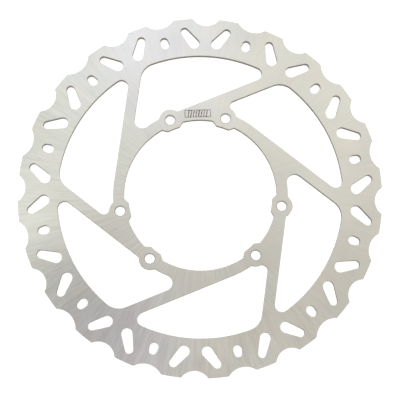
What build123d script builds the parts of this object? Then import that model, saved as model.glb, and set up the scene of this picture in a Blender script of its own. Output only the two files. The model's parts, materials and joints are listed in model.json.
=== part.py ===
from build123d import *
from math import acos, atan2, cos, degrees, hypot, radians, sin, sqrt
import os

# One-piece wave brake disc for a wheel of an off-road motorcycle.
#
# The disc lies flat. Z is the wheel axis, the back face is at z = 0 and the
# marked front face is at z = disc_thickness. Angles run clockwise from +Y as
# seen from the front, and +Y passes through the middle of a slot pair.
# All lengths are in millimetres and all angles in degrees.

# Plate
disc_diameter = 240.0
disc_thickness = 4.0

# Wavy outer edge: two kinds of scallop take turns around the rim
scallops_per_kind = 12
scallop_pitch = 360.0 / scallops_per_kind
slot_scallop_radius = 10.8
slot_scallop_depth = 4.9
vent_scallop_radius = 13.2
vent_scallop_depth = 4.2

# Cleaning slots: a pair under each slot scallop, leaning apart towards the rim
slot_inner_end_at = 103.0
slot_inner_end_angle = 4.2
slot_inner_end_radius = 3.7
slot_outer_end_at = 111.4
slot_outer_end_angle = 7.3
slot_outer_end_radius = 2.75

# Vents: one short teardrop hole under each vent scallop
vent_inner_end_at = 104.3
vent_inner_end_radius = 3.0
vent_outer_end_at = 106.5
vent_outer_end_radius = 2.7

# Friction ring and mounting ring
friction_ring_inner_radius = 94.3
mounting_ring_outer_radius = 57.6
mounting_ring_inner_radius = 50.3

# Bolt holes: three pairs on one circle, each hole in its own round boss
pair_count = 3
bolt_circle_diameter = 108.0
bolt_hole_diameter = 6.5
bolt_hole_chamfer = 0.4
pair_half_angle = 20.0
pair_turn = -3.8
boss_radius = 7.2

# Centring lugs: one inside each bolt hole, ending on the hub spigot circle
spigot_diameter = 95.0
lug_tip_half_width = 4.2
lug_root_half_width = 7.4
lug_root_fillet = 2.0

# Arms: six straight bars, tangent on their leading side to the mounting ring
arm_count = 6
arm_pitch = 360.0 / arm_count
arm_turn = -24.0
arm_width = 7.3

# Window corner radii
tip_fillet = 4.5
heel_fillet = 12.0
root_fillet = 5.3
boss_foot_fillet = 2.0
web_fillet = 3.5

# Shallow etched panel on the front face, midway between one pair of holes
panel_length = 17.4
panel_height = 5.2
panel_at = 54.6
panel_depth = 0.05

# How closely a corner has to match the place where it is looked for
position_tolerance = 0.01
angle_tolerance = 0.1
boss_foot_height = 5.0

disc_radius = disc_diameter / 2
bolt_circle_radius = bolt_circle_diameter / 2
spigot_radius = spigot_diameter / 2
arm_outer_offset = mounting_ring_outer_radius
arm_inner_offset = arm_outer_offset - arm_width


def polar(radius, angle):
    """Point at a radius and a clockwise angle from +Y."""
    return Vector(radius * sin(radians(angle)), radius * cos(radians(angle)))


def on_circle(radius):
    """Selector for the corners that lie on a circle about the wheel axis."""
    return lambda corner: abs(hypot(corner.X, corner.Y) - radius) < position_tolerance


def on_circle_at(radius, angle, pitch):
    """Selector for the corners on a circle that are at an angle, and again every pitch."""

    def chosen(corner):
        turn = degrees(atan2(corner.X, corner.Y)) - angle
        nearest_turn = (turn + pitch / 2) % pitch - pitch / 2
        return on_circle(radius)(corner) and abs(nearest_turn) < angle_tolerance

    return chosen


def at_boss_foot(corner):
    """True for the corners where a boss meets the mounting ring or an arm."""
    on_boss = any(
        abs((Vector(corner.X, corner.Y) - polar(bolt_circle_radius, angle)).length - boss_radius)
        < position_tolerance
        for angle in bolt_angles
    )
    return on_boss and hypot(corner.X, corner.Y) < bolt_circle_radius + boss_foot_height


bolt_angles = [
    pair_turn + pair * 360.0 / pair_count + side * pair_half_angle
    for pair in range(pair_count)
    for side in (-1, 1)
]

# Scallops, cut from the rim of the blank
with BuildSketch() as scallops:
    with PolarLocations(disc_radius - slot_scallop_depth + slot_scallop_radius, scallops_per_kind, 90):
        Circle(slot_scallop_radius)
    with PolarLocations(
        disc_radius - vent_scallop_depth + vent_scallop_radius, scallops_per_kind, 90 + scallop_pitch / 2
    ):
        Circle(vent_scallop_radius)

# One slot, the right-hand one of the pair on +Y
with BuildSketch() as slot:
    with Locations(polar(slot_inner_end_at, slot_inner_end_angle)):
        Circle(slot_inner_end_radius)
    with Locations(polar(slot_outer_end_at, slot_outer_end_angle)):
        Circle(slot_outer_end_radius)
    make_hull()

# One vent, turned half a pitch away from +Y
with BuildSketch() as vent:
    with Locations(polar(vent_inner_end_at, scallop_pitch / 2)):
        Circle(vent_inner_end_radius)
    with Locations(polar(vent_outer_end_at, scallop_pitch / 2)):
        Circle(vent_outer_end_radius)
    make_hull()

with BuildSketch() as rim_holes:
    with PolarLocations(0, scallops_per_kind):
        add(slot.sketch)
        add(mirror(slot.sketch, about=Plane.YZ, mode=Mode.PRIVATE))
        add(vent.sketch)

# Centre opening: round, with a flat-flanked lug inside each bolt hole
lug_tip_corner = sqrt(spigot_radius**2 - lug_tip_half_width**2)
lug_root_corner = sqrt(mounting_ring_inner_radius**2 - lug_root_half_width**2)
with BuildSketch() as bore:
    Circle(mounting_ring_inner_radius)
    for angle in bolt_angles:
        with Locations(Location((0, 0, 0), (0, 0, -angle))):
            Polygon(
                (-lug_tip_half_width, lug_tip_corner),
                (lug_tip_half_width, lug_tip_corner),
                (lug_root_half_width, lug_root_corner),
                (lug_root_half_width, bolt_circle_radius),
                (-lug_root_half_width, bolt_circle_radius),
                (-lug_root_half_width, lug_root_corner),
                align=None,
                mode=Mode.SUBTRACT,
            )
    Circle(spigot_radius)
    fillet(bore.vertices().filter_by(on_circle(mounting_ring_inner_radius)), lug_root_fillet)

# Arms: bars that run from the mounting ring to the friction ring
with BuildSketch() as arms:
    for number in range(arm_count):
        with Locations(Location((0, 0, 0), (0, 0, -(arm_turn + number * arm_pitch)))):
            with Locations((disc_radius / 2, (arm_outer_offset + arm_inner_offset) / 2)):
                Rectangle(disc_radius, arm_width)

# Windows: what the rings, arms and bosses leave open between them
with BuildSketch() as windows:
    Circle(friction_ring_inner_radius)
    Circle(mounting_ring_outer_radius, mode=Mode.SUBTRACT)
    add(arms.sketch, mode=Mode.SUBTRACT)
    for angle in bolt_angles:
        with Locations(polar(bolt_circle_radius, angle)):
            Circle(boss_radius, mode=Mode.SUBTRACT)

    # Web: fills the narrow gap between the second boss of each pair and the arm
    # above it, up to a round corner that touches both
    for pair in range(pair_count):
        arm_normal = polar(1, arm_turn + 2 * pair * arm_pitch)
        arm_along = Vector(arm_normal.Y, -arm_normal.X)
        boss_centre = polar(bolt_circle_radius, bolt_angles[2 * pair + 1])
        rise = arm_inner_offset - web_fillet - boss_centre.dot(arm_normal)
        reach = sqrt((boss_radius + web_fillet) ** 2 - rise**2)
        corner_centre = boss_centre + arm_normal * rise + arm_along * reach
        arm_root = sqrt(mounting_ring_outer_radius**2 - arm_inner_offset**2)
        Polygon(
            corner_centre + arm_normal * web_fillet,
            corner_centre,
            boss_centre,
            arm_normal * arm_inner_offset + arm_along * arm_root,
            align=None,
            mode=Mode.SUBTRACT,
        )
        with Locations(corner_centre):
            Circle(web_fillet)

    # Rounded corners
    tip_angle = arm_turn + degrees(acos(arm_outer_offset / friction_ring_inner_radius))
    heel_angle = arm_turn + degrees(acos(arm_inner_offset / friction_ring_inner_radius))
    root_angle = arm_turn - arm_pitch + degrees(acos(arm_inner_offset / mounting_ring_outer_radius))
    tips = windows.vertices().filter_by(on_circle_at(friction_ring_inner_radius, tip_angle, arm_pitch))
    fillet(tips, tip_fillet)
    heels = windows.vertices().filter_by(on_circle_at(friction_ring_inner_radius, heel_angle, arm_pitch))
    fillet(heels, heel_fillet)
    roots = windows.vertices().filter_by(
        on_circle_at(mounting_ring_outer_radius, root_angle, 2 * arm_pitch)
    )
    fillet(roots, root_fillet)
    fillet(windows.vertices().filter_by(at_boss_foot), boss_foot_fillet)

with BuildSketch(Plane.XY.offset(disc_thickness)) as panel:
    with Locations(Location(polar(panel_at, pair_turn), (0, 0, -pair_turn))):
        Rectangle(panel_length, panel_height)

# The disc
with BuildPart() as brake_disc:
    with BuildSketch():
        Circle(disc_radius)
        add(scallops.sketch, mode=Mode.SUBTRACT)
        add(rim_holes.sketch, mode=Mode.SUBTRACT)
        add(windows.sketch, mode=Mode.SUBTRACT)
        add(bore.sketch, mode=Mode.SUBTRACT)
        for angle in bolt_angles:
            with Locations(polar(bolt_circle_radius, angle)):
                Circle(bolt_hole_diameter / 2, mode=Mode.SUBTRACT)
    extrude(amount=disc_thickness)
    round_edges = brake_disc.edges().filter_by(GeomType.CIRCLE)
    bolt_hole_edges = round_edges.filter_by(
        lambda edge: abs(edge.radius - bolt_hole_diameter / 2) < position_tolerance
    )
    chamfer(bolt_hole_edges, bolt_hole_chamfer)
    extrude(panel.sketch, amount=-panel_depth, mode=Mode.SUBTRACT)

brake_disc.part.label = "brake_disc"

os.makedirs("parts", exist_ok=True)
export_step(brake_disc.part, "parts/brake_disc.step")
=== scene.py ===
import json
import math

import bpy
import numpy as np
from mathutils import Matrix, Vector
from mathutils.geometry import tessellate_polygon


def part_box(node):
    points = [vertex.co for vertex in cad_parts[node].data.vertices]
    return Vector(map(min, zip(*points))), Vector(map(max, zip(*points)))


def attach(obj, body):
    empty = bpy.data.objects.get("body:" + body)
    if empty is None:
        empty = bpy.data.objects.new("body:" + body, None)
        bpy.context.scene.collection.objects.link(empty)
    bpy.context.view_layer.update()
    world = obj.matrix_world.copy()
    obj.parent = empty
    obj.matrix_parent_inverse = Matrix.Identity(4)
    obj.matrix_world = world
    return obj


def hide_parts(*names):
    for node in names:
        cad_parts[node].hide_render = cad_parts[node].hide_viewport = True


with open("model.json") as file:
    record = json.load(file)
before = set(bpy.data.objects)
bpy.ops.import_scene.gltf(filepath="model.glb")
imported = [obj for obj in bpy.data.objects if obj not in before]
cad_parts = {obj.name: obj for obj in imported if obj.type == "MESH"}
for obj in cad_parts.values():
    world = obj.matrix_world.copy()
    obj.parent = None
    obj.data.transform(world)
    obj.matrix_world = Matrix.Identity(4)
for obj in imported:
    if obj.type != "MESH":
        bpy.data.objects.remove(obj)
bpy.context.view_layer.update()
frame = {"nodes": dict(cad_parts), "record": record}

# One-piece wave brake disc, lying on its back face. Lengths are in metres in the
# frame's own axes: Z is the wheel axis, and the marked front face looks along +Z.
MM = 0.001
back_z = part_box("brake_disc")[0].z
front_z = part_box("brake_disc")[1].z
middle_z = (front_z + back_z) / 2
bolt_mounts = [
    mount for mount in frame["record"]["mounts"] if mount["name"].startswith("bolt_hole")
]
bolt_centres = [Vector(mount["pos_m"][:2]) for mount in bolt_mounts]
bolt_radius = bolt_mounts[0]["dims"]["r_mm"] * MM

# Edges of the finished plate
edge_break = 0.20 * MM
edge_break_steps = 3
bolt_chamfer = 0.40 * MM

# How finely a round stretch of the outline is divided
arc_turn = math.radians(3)
arc_length = 1.6 * MM

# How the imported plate's outline is read. Neighbouring chords whose lengths are within
# a factor of same_chord are equal, and straight_pull draws each weakly to no turn.
level_tolerance = 0.01 * MM
weld_distance = 0.001 * MM
corner_turn = math.radians(25)
straight_turn = math.radians(0.3)
same_chord = 1.03
straight_pull = 0.02

# Etched panel: a dark frame round a row of slanted bars. Its outline is the only one
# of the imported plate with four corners.
panel_corners = 4
frame_line = 0.45 * MM
bar_count = 9
bar_slant = 0.9 * MM
bar_gap_share = 0.45

# Ground faces: the mounting ring and arms are a little duller than the friction ring
hub_zone_radius = 58 * MM
friction_zone_radius = 96 * MM
hub_zone_level = 0.96

# Grinding lines: noises over the direction from the axis, which change along the
# radius by line_drift per metre. They fade from full depth where X + Y is below
# -streak_fade_end to streak_fade of it above streak_fade_end. The other shares are
# those of the noises in the tone of the face.
line_drift = 0.8
streak_share = 0.55
hairline_share = 0.75
cloud_share = 0.5
streak_fade = 0.25
streak_fade_end = 100 * MM

# Laser-cut walls: the cutting lines are long through the plate and short along it
cut_line_squeeze = 0.08

# Bolt holes: the drilled walls are painted darker than the countersinks, as painted shade deep in
# the hole
drilled_wall_painted_shade = 0.38

# The middle value of a noise
noise_middle = 0.5

# Camera: angles in degrees, lengths in metres and the lens in millimetres
camera_azimuth = -6.90
camera_elevation = 80.45
camera_roll = 8.78
camera_distance = 0.8071
camera_target = Vector((-0.00026, -0.00353, 0.0025))
camera_lens = 110.28
camera_clip_start = 0.01

# White paper under the disc, just clear of its back face. Its own glow stands for the
# strong light that overexposes it.
floor_half_width = 3.0
floor_gap = 0.02 * MM
floor_colour = (0.80, 0.80, 0.80, 1)
floor_glow = 0.72

# Strength of the studio light, whose parts are in studio_rows
studio_level = 1.065


# ---------------------------------------------------------------- outline


def front_loops():
    """Closed outlines of the plate's flat front face, each with the metal on its left."""
    mesh = frame["nodes"]["brake_disc"].data
    places = {}
    edges = set()
    for polygon in mesh.polygons:
        corners = [mesh.vertices[i].co for i in polygon.vertices]
        if any(abs(corner.z - front_z) > level_tolerance for corner in corners):
            continue
        keys = []
        for corner in corners:
            key = (round(corner.x / weld_distance), round(corner.y / weld_distance))
            keys.append(key)
            places[key] = (corner.x, corner.y)
        edges.update(zip(keys, keys[1:] + keys[:1]))
    following = {start: end for start, end in edges if (end, start) not in edges}
    loops = []
    for start in sorted(following):
        loop = []
        while start in following:
            loop.append(places[start])
            start = following.pop(start)
        if loop:
            loops.append(np.array(loop))
    return loops


def wrapped(angle):
    """The same angle between minus and plus half a turn."""
    return (angle + math.pi) % (2 * math.pi) - math.pi


def chord_turns(points):
    """The length, heading and turning of each chord, and which points are sharp corners.

    The outline is straight lines and arcs that touch without a corner, cut into
    chords. Where two chords meet smoothly, the heading changes by half of what each
    of them turns, and equal chords side by side belong to one arc.
    """
    ahead = np.roll(points, -1, axis=0) - points
    length = np.hypot(ahead[:, 0], ahead[:, 1])
    heading = np.arctan2(ahead[:, 1], ahead[:, 0])
    change = wrapped(heading - np.roll(heading, 1))
    sharp = abs(change) > corner_turn
    rows = []
    sums = []
    count = len(points)
    for i in range(count):
        before = (i - 1) % count
        pull = np.zeros(count)
        pull[i] = straight_pull
        rows.append(pull)
        sums.append(0)
        if sharp[i]:
            continue
        meet = np.zeros(count)
        meet[[before, i]] = 1 / 2
        rows.append(meet)
        sums.append(change[i])
        if max(length[i], length[before]) < same_chord * min(length[i], length[before]):
            same = np.zeros(count)
            same[before] = 1
            same[i] = -1
            rows.append(same)
            sums.append(0)
    turn = np.linalg.lstsq(np.array(rows), np.array(sums), rcond=None)[0]
    turn[abs(turn) < straight_turn] = 0
    return length, heading, turn, sharp


def refined(points):
    """The outline with its arcs divided finely: points, and the headings into and out of each."""
    length, heading, turn, sharp = chord_turns(points)
    place, arriving, leaving = [], [], []
    for i, start in enumerate(points):
        pieces = 1
        if turn[i] != 0:
            pieces = math.ceil(max(abs(turn[i]) / arc_turn, length[i] / arc_length))
        first_heading = heading[i] - turn[i] / 2
        for piece in range(pieces):
            share = piece / pieces
            swept = turn[i] * share
            if turn[i] == 0:
                chord = length[i] * share
            else:
                chord = length[i] * math.sin(swept / 2) / math.sin(turn[i] / 2)
            toward = first_heading + swept / 2
            place.append(start + chord * np.array((math.cos(toward), math.sin(toward))))
            leaving.append(first_heading + swept)
            arriving.append(first_heading + swept)
        if sharp[i]:
            arriving[-pieces] = heading[i - 1] + turn[i - 1] / 2
    return np.array(place), np.array(arriving), np.array(leaving)


def circle(centre, radius):
    """A clockwise circle: a hole's outline with the metal on its left."""
    count = math.ceil(2 * math.pi / arc_turn)
    angle = -2 * math.pi * np.arange(count) / count
    place = np.array(centre) + radius * np.stack((np.cos(angle), np.sin(angle)), axis=1)
    heading = angle - math.pi / 2
    return place, heading, heading


def straight_sided(points):
    """A polygon as an outline: its points, and the headings into and out of each."""
    points = np.array(points)
    ahead = np.roll(points, -1, axis=0) - points
    leaving = np.arctan2(ahead[:, 1], ahead[:, 0])
    return points, np.roll(leaving, 1), leaving


# ---------------------------------------------------------------- plate mesh

# Zones of the mesh, each with a material slot of its own
GROUND, CUT, SINK, MARK = range(4)


class Plate:
    """Vertices, faces, corner normals and zones of the mesh, gathered piece by piece."""

    def __init__(self):
        self.vertices = []
        self.faces = []
        self.normals = []
        self.zones = []

    def ring(self, place, z):
        """Adds a closed ring of points at one height and gives their numbers."""
        first = len(self.vertices)
        self.vertices += [(x, y, z) for x, y in place]
        return list(range(first, first + len(place)))

    def strip(self, upper, lower, arriving, leaving, upper_tilt, lower_tilt, zone):
        """Faces between two rings. A tilt is the normal's angle above the plate's plane."""
        count = len(upper)
        for i in range(count):
            after = (i + 1) % count
            self.faces.append((upper[i], lower[i], lower[after], upper[after]))
            out_here = leaving[i] - math.pi / 2
            out_after = arriving[after] - math.pi / 2
            corners = (
                (out_here, upper_tilt),
                (out_here, lower_tilt),
                (out_after, lower_tilt),
                (out_after, upper_tilt),
            )
            for out, tilt in corners:
                flat = math.cos(tilt)
                self.normals.append((flat * math.cos(out), flat * math.sin(out), math.sin(tilt)))
            self.zones.append(zone)

    def cap(self, rings, up, zone):
        """Flat faces between rings: the outer one and the holes in it."""
        numbers = [number for ring in rings for number in ring]
        outlines = [[Vector(self.vertices[number]) for number in ring] for ring in rings]
        for a, b, c in tessellate_polygon(outlines):
            corners = [Vector(self.vertices[numbers[i]]) for i in (a, b, c)]
            normal_z = (corners[1] - corners[0]).cross(corners[2] - corners[0]).z
            if (normal_z > 0) != up:
                b, c = c, b
            self.faces.append((numbers[a], numbers[b], numbers[c]))
            self.normals += [(0, 0, 1 if up else -1)] * 3
            self.zones.append(zone)

    def object(self, name):
        """Makes the Blender object, with each face's zone as its material slot."""
        mesh = bpy.data.meshes.new(name)
        mesh.from_pydata(self.vertices, [], self.faces)
        mesh.polygons.foreach_set("material_index", self.zones)
        mesh.polygons.foreach_set("use_smooth", [True] * len(self.faces))
        mesh.normals_split_custom_set(self.normals)
        piece = bpy.data.objects.new(name, mesh)
        bpy.context.scene.collection.objects.link(piece)
        return piece


def moved_in(place, arriving, leaving, distance):
    """Points moved into the metal, square to the outline, and along the bisector at a corner."""
    out_before = np.stack((np.sin(arriving), -np.cos(arriving)), axis=1)
    out_after = np.stack((np.sin(leaving), -np.cos(leaving)), axis=1)
    miter = (out_before + out_after) / (1 + (out_before * out_after).sum(axis=1))[:, None]
    return place - distance * miter


def edge_profile():
    """Broken edges of the front and the back: (distance in, height, normal's tilt) down a wall."""
    angles = [math.pi / 2 * (1 - step / edge_break_steps) for step in range(edge_break_steps + 1)]
    front = [
        (edge_break * (1 - math.cos(angle)), front_z - edge_break * (1 - math.sin(angle)), angle)
        for angle in angles
    ]
    back = [(inset, back_z + front_z - z, -tilt) for inset, z, tilt in reversed(front)]
    return front, back


def add_cut(plate, outline):
    """Walls of one laser-cut outline, with its broken edges. Gives the two rings on the faces."""
    place, arriving, leaving = outline
    front, back = edge_profile()
    profile = front + back
    rings = [plate.ring(moved_in(place, arriving, leaving, inset), z) for inset, z, _ in profile]
    for i in range(len(profile) - 1):
        zone = CUT if i == len(front) - 1 else GROUND
        upper_tilt, lower_tilt = profile[i][2], profile[i + 1][2]
        plate.strip(rings[i], rings[i + 1], arriving, leaving, upper_tilt, lower_tilt, zone)
    return rings[0], rings[-1]


def add_bolt_hole(plate, centre):
    """A drilled hole with a countersink on each face. Gives the two rings on the faces."""
    place, arriving, leaving = circle(centre, bolt_radius)
    sink = math.pi / 4
    wide = moved_in(place, arriving, leaving, bolt_chamfer)
    rings = [
        plate.ring(wide, front_z),
        plate.ring(place, front_z - bolt_chamfer),
        plate.ring(place, back_z + bolt_chamfer),
        plate.ring(wide, back_z),
    ]
    for i, tilt in enumerate((sink, 0, -sink)):
        plate.strip(rings[i], rings[i + 1], arriving, leaving, tilt, tilt, SINK)
    return rings[0], rings[-1]


def panel_floor(loop):
    """The height of the panel's floor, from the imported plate's vertices under its corners."""
    corners = [Vector(corner) for corner in loop]
    return min(
        vertex.co.z for vertex in frame["nodes"]["brake_disc"].data.vertices
        if vertex.co.z > middle_z
        and any((vertex.co.xy - corner).length < level_tolerance for corner in corners)
    )


def bar_outlines(corner, along, across, length, height):
    """Slanted bars side by side in a rectangle. The end ones are upright on the outside."""
    pitch = (length - bar_slant) / bar_count
    half_gap = pitch * bar_gap_share / 2
    bars = []
    for number in range(bar_count):
        first, last = number == 0, number == bar_count - 1
        left = number * pitch + (0 if first else half_gap)
        right = (number + 1) * pitch + (bar_slant if last else -half_gap)
        top_left = left + (0 if first else bar_slant)
        top_right = right + (0 if last else bar_slant)
        corners = [(left, 0), (right, 0), (top_right, height), (top_left, height)]
        bars.append([corner + along * x + across * y for x, y in corners])
    return bars


def add_panel(plate, loop):
    """The etched panel: a shallow pocket whose bars still stand at the front face's height."""
    floor_z = panel_floor(loop)

    def add_wall(points):
        """An upright wall from the front face to the pocket's floor. Gives its two rings."""
        place, arriving, leaving = straight_sided(points)
        top, bottom = plate.ring(place, front_z), plate.ring(place, floor_z)
        plate.strip(top, bottom, arriving, leaving, 0, 0, MARK)
        return top, bottom

    rim, foot = add_wall(loop)
    counterclockwise = loop[::-1]
    sides = np.roll(counterclockwise, -1, axis=0) - counterclockwise
    lengths = np.hypot(sides[:, 0], sides[:, 1])
    longest = int(np.argmax(lengths))
    length, height = float(lengths[longest]), float(lengths[(longest + 1) % panel_corners])
    along = sides[longest] / length
    across = np.array((-along[1], along[0]))
    inner_corner = counterclockwise[longest] + (along + across) * frame_line
    inner_size = (length - 2 * frame_line, height - 2 * frame_line)
    holes = []
    for bar in bar_outlines(inner_corner, along, across, *inner_size):
        top, bottom = add_wall(bar)
        plate.cap([top], True, GROUND)
        holes.append(bottom)
    plate.cap([foot] + holes, True, MARK)
    return rim


def build_disc():
    """The disc's mesh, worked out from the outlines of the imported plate's front face."""
    plate = Plate()
    front_rings, back_rings = [], []
    for loop in front_loops():
        if len(loop) == panel_corners:
            front_rings.append(add_panel(plate, loop))
            continue
        centre = Vector(loop.mean(axis=0))
        nearest_bolt = min(bolt_centres, key=lambda bolt: (bolt - centre).length)
        if (nearest_bolt - centre).length < bolt_radius / 2:
            front, back = add_bolt_hole(plate, nearest_bolt)
        else:
            front, back = add_cut(plate, refined(loop))
        front_rings.append(front)
        back_rings.append(back)
    for rings, up in ((front_rings, True), (back_rings, False)):
        rings.sort(key=lambda ring: -max(Vector(plate.vertices[i][:2]).length for i in ring))
        plate.cap(rings, up, GROUND)
    return plate.object("wave_brake_disc")


# ---------------------------------------------------------------- shader nodes


def feed(tree, socket, value):
    """Gives an input a value of its own, or links it to the output that is its value."""
    if isinstance(value, bpy.types.NodeSocket):
        tree.links.new(value, socket)
    else:
        socket.default_value = value


def feed_named(tree, made, inputs):
    """Feeds a node's inputs by name, with _ for a space."""
    for name, value in inputs.items():
        feed(tree, made.inputs[name.replace("_", " ")], value)


def node(tree, kind, *values, properties=None, **inputs):
    """A node with properties of its own, and with inputs fed in order or by name."""
    made = tree.nodes.new(kind)
    for name, value in (properties or {}).items():
        setattr(made, name, value)
    for socket, value in zip(made.inputs, values):
        feed(tree, socket, value)
    feed_named(tree, made, inputs)
    return made


def maths(tree, operation, *values):
    """A Math node's result."""
    return node(tree, "ShaderNodeMath", *values, properties={"operation": operation}).outputs[0]


def vector_maths(tree, operation, *values, **inputs):
    """A Vector Math node."""
    settings = {"operation": operation}
    return node(tree, "ShaderNodeVectorMath", *values, properties=settings, **inputs)


def weighted(tree, *terms, start=0.0):
    """A start value plus each term's value times its share."""
    total = start
    for value, share in terms:
        total = maths(tree, "MULTIPLY_ADD", value, share, total)
    return total


def multiplied(tree, first, second):
    """Two colours multiplied."""
    return vector_maths(tree, "MULTIPLY", first, second).outputs[0]


def scaled(tree, colour, level):
    """A colour made lighter or darker by a level."""
    return vector_maths(tree, "SCALE", colour, Scale=level).outputs[0]


def along(tree, direction, axis):
    """How far a direction goes along an axis."""
    return vector_maths(tree, "DOT_PRODUCT", direction, axis).outputs["Value"]


def angle_from(tree, direction, axis):
    """The angle in degrees between a direction and an axis."""
    angle = maths(tree, "ARCCOSINE", along(tree, direction, Vector(axis).normalized()))
    return maths(tree, "DEGREES", angle)


def spread(tree, value, low, high, from_low=0.0, from_high=1.0, easing="LINEAR"):
    """A value spread between two numbers, and held at them outside its own range."""
    made = node(
        tree, "ShaderNodeMapRange", value, properties={"interpolation_type": easing},
        From_Min=from_low, From_Max=from_high, To_Min=low, To_Max=high,
    )
    return made.outputs["Result"]


def eased(tree, value, from_low, from_high, low, high):
    """A value spread smoothly between two numbers over its own range."""
    return spread(tree, value, low, high, from_low, from_high, "SMOOTHSTEP")


def ramp(tree, value, *stops):
    """A Color Ramp's colour, from (position, (red, green, blue)) stops."""
    made = node(tree, "ShaderNodeValToRGB", value)
    band = made.color_ramp.elements
    while len(band) < len(stops):
        band.new(position=0.5)
    for element, (position, colour) in zip(band, stops):
        element.position = position
        element.color = (*colour, 1)
    return made.outputs["Color"]


def noise(tree, vector, scale, detail=2.0, roughness=0.5):
    """A Noise Texture's value."""
    made = node(
        tree, "ShaderNodeTexNoise", vector, Scale=scale, Detail=detail, Roughness=roughness
    )
    return made.outputs["Fac"]


def disc_position(tree):
    """The position on the disc in metres."""
    return node(tree, "ShaderNodeTexCoord").outputs["Object"]


def numbers_of(tree, vector):
    """A vector's three numbers."""
    return node(tree, "ShaderNodeSeparateXYZ", vector).outputs


def joined(tree, x, y, z):
    """Three numbers as a vector."""
    return node(tree, "ShaderNodeCombineXYZ", x, y, z).outputs[0]


def relief(tree, height, strength, distance):
    """The surface's normal with bumps from a height."""
    return node(
        tree, "ShaderNodeBump", Strength=strength, Distance=distance, Height=height
    ).outputs[0]


# ---------------------------------------------------------------- materials


def new_material(name, **settings):
    """A material, its node tree and its Principled shader with settings of its own."""
    material = bpy.data.materials.new(name)
    material.use_nodes = True
    tree = material.node_tree
    shader = tree.nodes["Principled BSDF"]
    feed_named(tree, shader, settings)
    return material, tree, shader


def ground_steel():
    """Stainless steel ground flat: lines that run out from the centre, and faint tints."""
    material, tree, shader = new_material("ground_steel", Metallic=1.0)
    position = disc_position(tree)
    x, y = numbers_of(tree, position)[:2]
    squares = [maths(tree, "MULTIPLY", value, value) for value in (x, y)]
    radius = maths(tree, "SQRT", maths(tree, "ADD", *squares))
    lines = joined(
        tree,
        maths(tree, "DIVIDE", x, radius),
        maths(tree, "DIVIDE", y, radius),
        maths(tree, "MULTIPLY", radius, line_drift),
    )
    streaks = noise(tree, lines, scale=42, detail=1.5)
    hairlines = noise(tree, lines, scale=130, detail=3.0, roughness=0.7)
    cloud = noise(tree, position, scale=22)
    depth = weighted(
        tree, (streaks, streak_share), (hairlines, hairline_share),
        start=-noise_middle * (streak_share + hairline_share),
    )
    diagonal = maths(tree, "ADD", x, y)
    shown = eased(tree, diagonal, -streak_fade_end, streak_fade_end, 1.0, streak_fade)
    tone = weighted(
        tree, (depth, shown), (cloud, cloud_share), start=noise_middle * (1 - cloud_share)
    )
    colour = ramp(
        tree, tone,
        (0.30, (0.585, 0.575, 0.530)),
        (0.43, (0.632, 0.612, 0.572)),
        (0.50, (0.654, 0.642, 0.588)),
        (0.57, (0.670, 0.660, 0.612)),
        (0.70, (0.716, 0.690, 0.640)),
    )
    warmth = ramp(
        tree, noise(tree, position, scale=70),
        (0.40, (0.985, 1.000, 1.006)),
        (0.60, (1.015, 0.998, 0.994)),
    )
    duller = eased(tree, radius, hub_zone_radius, friction_zone_radius, hub_zone_level, 1.0)
    feed_named(tree, shader, {
        "Base_Color": scaled(tree, multiplied(tree, colour, warmth), duller),
        "Roughness": spread(tree, hairlines, low=0.06, high=0.14),
        "Normal": relief(
            tree, maths(tree, "ADD", streaks, hairlines), strength=0.2, distance=0.003 * MM
        ),
    })
    return material


def cut_steel():
    """The laser-cut walls: dark and smooth at the front, warmer and rougher towards the back."""
    material, tree, shader = new_material("laser_cut_steel", Metallic=0.9)
    position = disc_position(tree)
    x, y, z = numbers_of(tree, position)
    squeezed = joined(tree, x, y, maths(tree, "MULTIPLY", z, cut_line_squeeze))
    lines = noise(tree, squeezed, scale=2600)
    patches = noise(tree, position, scale=60)
    rough_share = eased(tree, z, back_z, front_z, 1.0, 0.0)
    colour = ramp(
        tree, weighted(tree, (lines, 0.3), (patches, 0.2), (rough_share, 0.5)),
        (0.20, (0.050, 0.046, 0.044)),
        (0.45, (0.085, 0.075, 0.066)),
        (0.62, (0.180, 0.145, 0.110)),
        (0.80, (0.330, 0.265, 0.200)),
    )
    feed_named(tree, shader, {
        "Base_Color": colour,
        "Roughness": spread(tree, rough_share, low=0.35, high=0.60),
        "Normal": relief(tree, lines, strength=0.5, distance=0.04 * MM),
    })
    return material


def sunk_steel():
    """The bolt holes: bright countersinks, walls painted darker as shade deep in the hole, and
    rings all the way down.
    """
    material, tree, shader = new_material("countersunk_steel", Metallic=1.0)
    position = disc_position(tree)
    z = numbers_of(tree, position)["Z"]
    rings = noise(tree, joined(tree, 0, 0, z), scale=9000, detail=1.0)
    patches = noise(tree, position, scale=500)
    colour = ramp(
        tree, weighted(tree, (rings, 0.5), (patches, 0.5)),
        (0.35, (0.60, 0.585, 0.555)),
        (0.65, (0.78, 0.765, 0.735)),
    )
    # Painted shade: the walls are coloured darker towards the middle of the plate's depth, as
    # shade deep in the hole
    from_middle = maths(tree, "ABSOLUTE", maths(tree, "SUBTRACT", z, middle_z))
    sink_foot = (front_z - back_z) / 2 - bolt_chamfer
    lighter = eased(tree, from_middle, sink_foot - bolt_chamfer, sink_foot, drilled_wall_painted_shade, 1.0)
    feed_named(tree, shader, {
        "Base_Color": scaled(tree, colour, lighter),
        "Roughness": spread(tree, rings, low=0.42, high=0.58),
        "Normal": relief(tree, rings, strength=0.3, distance=0.02 * MM),
    })
    return material


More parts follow.
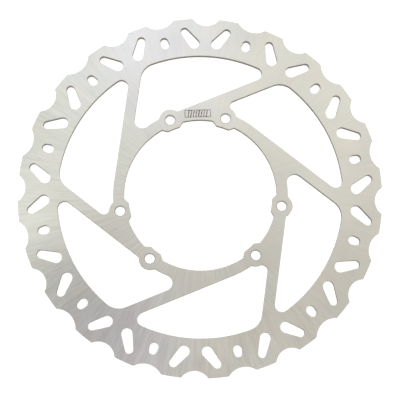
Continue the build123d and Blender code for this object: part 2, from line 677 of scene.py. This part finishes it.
def etched_steel():
    """The etched pocket of the mark: dull and dark, a little mottled."""
    material, tree, shader = new_material("etched_steel", Metallic=0.6)
    mottle = noise(tree, disc_position(tree), scale=700, detail=3.0, roughness=0.6)
    feed_named(tree, shader, {
        "Base_Color": ramp(
            tree, mottle,
            (0.40, (0.15, 0.135, 0.125)),
            (0.60, (0.56, 0.530, 0.500)),
        ),
        "Roughness": spread(tree, mottle, low=0.55, high=0.75),
        "Normal": relief(tree, mottle, strength=0.4, distance=0.03 * MM),
    })
    return material


# ---------------------------------------------------------------- studio

white = (1.0, 1.0, 1.0)

# The studio light, by direction only: a soft panel overhead with lamps, a hollow, a
# shade and tints in it, and a dimmer room round it. A row has what is measured of the
# direction, the axis it is measured against, the ends of its range (degrees for an
# angle), and what the light is multiplied by at each end.
studio_rows = {
    "glow": (angle_from, (-0.024, 0.300, 1.0), 0.5, 5.5, (1.18, 1.18, 1.35), white),
    "top_lamp": (angle_from, (0.042, 0.245, 1.0), 0.5, 4.2, (1.08, 1.08, 1.08), white),
    "left_lamp": (angle_from, (-0.124, 0.122, 1.0), 0.5, 2.8, (1.18, 1.18, 1.17), white),
    "right_lamp": (angle_from, (0.168, 0.160, 1.0), 0.5, 3.2, (1.10, 1.10, 1.09), white),
    "hollow": (angle_from, (0.022, 0.148, 1.0), 2.6, 6.4, (0.875, 0.875, 0.875), white),
    "shade": (angle_from, (-0.080, 0.073, 1.0), 2.6, 4.4, (0.62, 0.615, 0.63), white),
    "violet": (angle_from, (-0.036, 0.047, 1.0), 0.5, 4.5, (1.00, 0.99, 1.15), white),
    "panel_edge": (along, (-0.70, 1.0, 0.0), 0.010, 0.130, (0.75, 0.75, 0.75), white),
    "room": (angle_from, (0.0, 0.0, 1.0), 25, 90, white, (0.62, 0.62, 0.62)),
    "tint": (along, (0.80, -0.60, 0.0), -0.25, 0.08, (0.969, 1.0, 0.976), (1.028, 1.0, 0.952)),
}


def add_camera():
    """The camera, nearly straight above the disc and turned a little."""
    data = bpy.data.cameras.new("camera")
    data.lens = camera_lens
    data.clip_start = camera_clip_start
    camera = bpy.data.objects.new("camera", data)
    bpy.context.scene.collection.objects.link(camera)
    turn = (
        Matrix.Rotation(math.radians(camera_azimuth), 4, "Z")
        @ Matrix.Rotation(math.radians(90 - camera_elevation), 4, "X")
        @ Matrix.Rotation(math.radians(camera_roll), 4, "Z")
    )
    away = turn.to_3x3() @ Vector((0, 0, camera_distance))
    camera.matrix_world = Matrix.Translation(camera_target + away) @ turn
    bpy.context.scene.camera = camera


def add_floor():
    """A white table top, much larger than the disc."""
    mesh = bpy.data.meshes.new("floor")
    sides = ((-1, -1), (1, -1), (1, 1), (-1, 1))
    corners = [(x * floor_half_width, y * floor_half_width, 0) for x, y in sides]
    mesh.from_pydata(corners, [], [(0, 1, 2, 3)])
    floor = bpy.data.objects.new("floor", mesh)
    floor.location.z = back_z - floor_gap
    bpy.context.scene.collection.objects.link(floor)
    paper = new_material(
        "white_paper", Roughness=0.9, Base_Color=floor_colour, Emission_Color=(*white, 1),
        Emission_Strength=floor_glow, Specular_IOR_Level=0.0,
    )[0]
    mesh.materials.append(paper)


def add_world():
    """The studio light. Each of studio_rows is a ramp, labelled with its name."""
    world = bpy.data.worlds.new("studio")
    bpy.context.scene.world = world
    world.use_nodes = True
    tree = world.node_tree
    direction = node(tree, "ShaderNodeTexCoord").outputs["Generated"]
    light = None
    for name, (measured, axis, low, high, low_colour, high_colour) in studio_rows.items():
        share = eased(tree, measured(tree, direction, axis), low, high, 0.0, 1.0)
        row = ramp(tree, share, (0.0, low_colour), (1.0, high_colour))
        row.node.label = name
        light = row if light is None else multiplied(tree, light, row)
    feed_named(tree, tree.nodes["Background"], {"Color": light, "Strength": studio_level})


bpy.context.scene.view_settings.view_transform = "Standard"
add_camera()
add_floor()
add_world()

disc = build_disc()
for finish in (ground_steel(), cut_steel(), sunk_steel(), etched_steel()):
    disc.data.materials.append(finish)
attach(disc, "root")
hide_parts("brake_disc")
